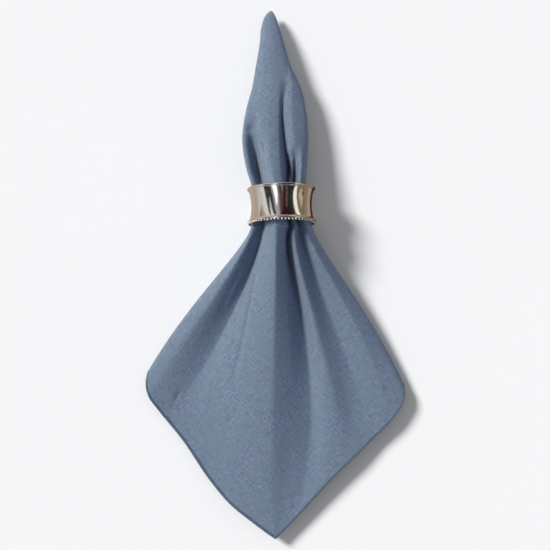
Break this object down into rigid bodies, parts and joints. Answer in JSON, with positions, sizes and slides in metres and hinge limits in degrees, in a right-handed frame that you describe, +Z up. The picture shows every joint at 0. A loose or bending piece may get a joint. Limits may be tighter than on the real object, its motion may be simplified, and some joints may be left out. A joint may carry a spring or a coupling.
{
  "type": "linen napkin in a ring",
  "caption": "Square linen napkin with its sides turned behind and its top corner drawn through a waisted metal napkin ring, lying flat with the rest fanned out below in folds.",
  "frame": {"origin": "under the middle of the whole, on the table that it lies on", "axes": "+Y along the napkin towards the tip above the ring, +X to the right as seen from above, +Z up from the table"},
  "size_m": [0.1713, 0.3554, 0.0449],
  "materials": {
    "blue_linen": "plain woven linen, matt",
    "polished_silver": "polished silver plate"
  },
  "bodies": {
    "root": {"napkin": "blue_linen", "ring": "polished_silver"}
  },
  "joints": []
}
